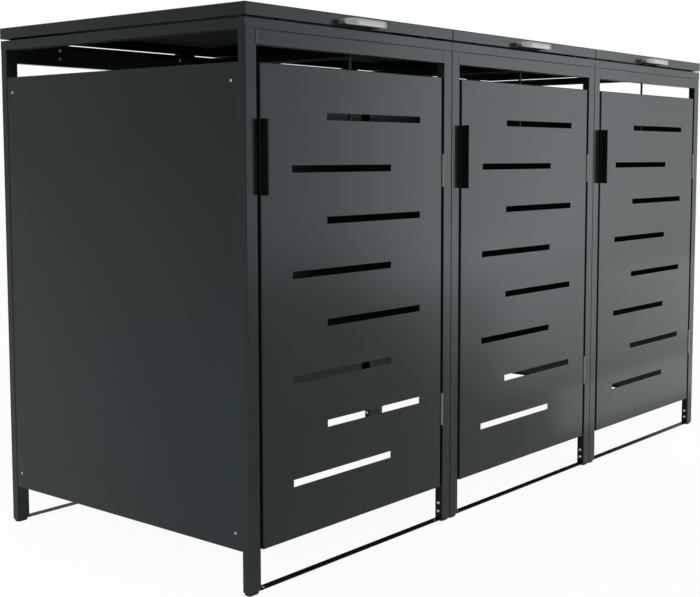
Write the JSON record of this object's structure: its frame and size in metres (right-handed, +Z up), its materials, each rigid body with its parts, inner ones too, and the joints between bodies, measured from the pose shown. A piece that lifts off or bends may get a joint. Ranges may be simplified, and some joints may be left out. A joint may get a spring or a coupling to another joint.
{
  "type": "wheelie bin store",
  "caption": "Row of steel wheelie bin housings with slotted hinged doors, rear-hinged flat lids, side and back panels and ground anchor strips.",
  "frame": {"origin": "middle of the footprint of the whole row, on the ground under the feet", "axes": "+X along the row to the right as seen from the doors, +Y from the doors to the back, +Z up"},
  "size_m": [2.029, 0.844, 1.166],
  "materials": {
    "coat": "satin anthracite powder coat",
    "black_coat": "matt black powder coat",
    "strip_coat": "dark powder coat",
    "zinc": "bright zinc plate",
    "hinge_steel": "dull grey-brown phosphated steel",
    "satin_steel": "satin nickel-plated steel",
    "lifter_steel": "anthracite coated steel rod",
    "foot_plastic": "black plastic",
    "buffer_rubber": "soft black rubber",
    "magnet": "dark grey ferrite magnet"
  },
  "bodies": {
    "carcass": {"front_frame_1": "coat", "rear_frame_1": "coat", "top_ring_1": "coat", "back_panel_1": "coat", "front_frame_2": "coat", "rear_frame_2": "coat", "top_ring_2": "coat", "back_panel_2": "coat", "front_frame_3": "coat", "rear_frame_3": "coat", "top_ring_3": "coat", "back_panel_3": "coat", "left_side_panel": "coat", "right_side_panel": "coat", "panel_lugs": "coat", "panel_screws": "zinc", "feet": "foot_plastic", "ground_strips": "strip_coat", "strip_tabs": "strip_coat", "post_screws": "zinc", "post_hinge_leaves": "hinge_steel", "door_hinge_pins": "hinge_steel", "door_catches": "zinc", "catch_magnets": "magnet", "lid_buffers": "buffer_rubber", "lid_frame_leaves": "black_coat", "lid_hinge_pins": "hinge_steel", "lid_hinge_bolts": "zinc", "join_plates": "zinc"},
    "door_leaf_1": {"door_1": "coat", "door_grip_1": "black_coat", "door_hinge_leaves_1": "hinge_steel", "door_screws_1": "zinc"},
    "lid_top_1": {"lid_1": "coat", "lid_bow_1": "satin_steel", "lid_hinge_leaves_1": "black_coat", "lid_screws_1": "zinc", "lifter_staple_1": "zinc"},
    "lifter_rod_1": {"lid_lifter_1": "lifter_steel"},
    "door_leaf_2": {"door_2": "coat", "door_grip_2": "black_coat", "door_hinge_leaves_2": "hinge_steel", "door_screws_2": "zinc"},
    "lid_top_2": {"lid_2": "coat", "lid_bow_2": "satin_steel", "lid_hinge_leaves_2": "black_coat", "lid_screws_2": "zinc", "lifter_staple_2": "zinc"},
    "lifter_rod_2": {"lid_lifter_2": "lifter_steel"},
    "door_leaf_3": {"door_3": "coat", "door_grip_3": "black_coat", "door_hinge_leaves_3": "hinge_steel", "door_screws_3": "zinc"},
    "lid_top_3": {"lid_3": "coat", "lid_bow_3": "satin_steel", "lid_hinge_leaves_3": "black_coat", "lid_screws_3": "zinc", "lifter_staple_3": "zinc"},
    "lifter_rod_3": {"lid_lifter_3": "lifter_steel"}
  },
  "joints": [
    {"name": "door_1_hinge", "type": "hinge", "parent": "carcass", "child": "door_leaf_1", "pos_m": [-0.373, -0.388, 0.574], "axis": [0, 0, 1], "range_deg": [0, 110]},
    {"name": "door_2_hinge", "type": "hinge", "parent": "carcass", "child": "door_leaf_2", "pos_m": [0.3025, -0.388, 0.574], "axis": [0, 0, 1], "range_deg": [0, 110]},
    {"name": "door_3_hinge", "type": "hinge", "parent": "carcass", "child": "door_leaf_3", "pos_m": [0.978, -0.388, 0.574], "axis": [0, 0, 1], "range_deg": [0, 110]},
    {"name": "lid_1_hinge", "type": "hinge", "parent": "carcass", "child": "lid_top_1", "pos_m": [-0.6755, 0.418, 1.139], "axis": [-1, 0, 0], "range_deg": [0, 90]},
    {"name": "lid_2_hinge", "type": "hinge", "parent": "carcass", "child": "lid_top_2", "pos_m": [0, 0.418, 1.139], "axis": [-1, 0, 0], "range_deg": [0, 90]},
    {"name": "lid_3_hinge", "type": "hinge", "parent": "carcass", "child": "lid_top_3", "pos_m": [0.6755, 0.418, 1.139], "axis": [-1, 0, 0], "range_deg": [0, 90]},
    {"name": "lifter_1_swing", "type": "hinge", "parent": "lid_top_1", "child": "lifter_rod_1", "pos_m": [-0.6665, -0.354, 1.1541], "axis": [1, 0, 0], "range_deg": [0, 90]},
    {"name": "lifter_2_swing", "type": "hinge", "parent": "lid_top_2", "child": "lifter_rod_2", "pos_m": [0.009, -0.354, 1.1541], "axis": [1, 0, 0], "range_deg": [0, 90]},
    {"name": "lifter_3_swing", "type": "hinge", "parent": "lid_top_3", "child": "lifter_rod_3", "pos_m": [0.6845, -0.354, 1.1541], "axis": [1, 0, 0], "range_deg": [0, 90]}
  ],
  "couplings": [
    {"joint": "lifter_1_swing", "follows": "lid_1_hinge", "ratio": 1},
    {"joint": "lifter_2_swing", "follows": "lid_2_hinge", "ratio": 1},
    {"joint": "lifter_3_swing", "follows": "lid_3_hinge", "ratio": 1}
  ]
}
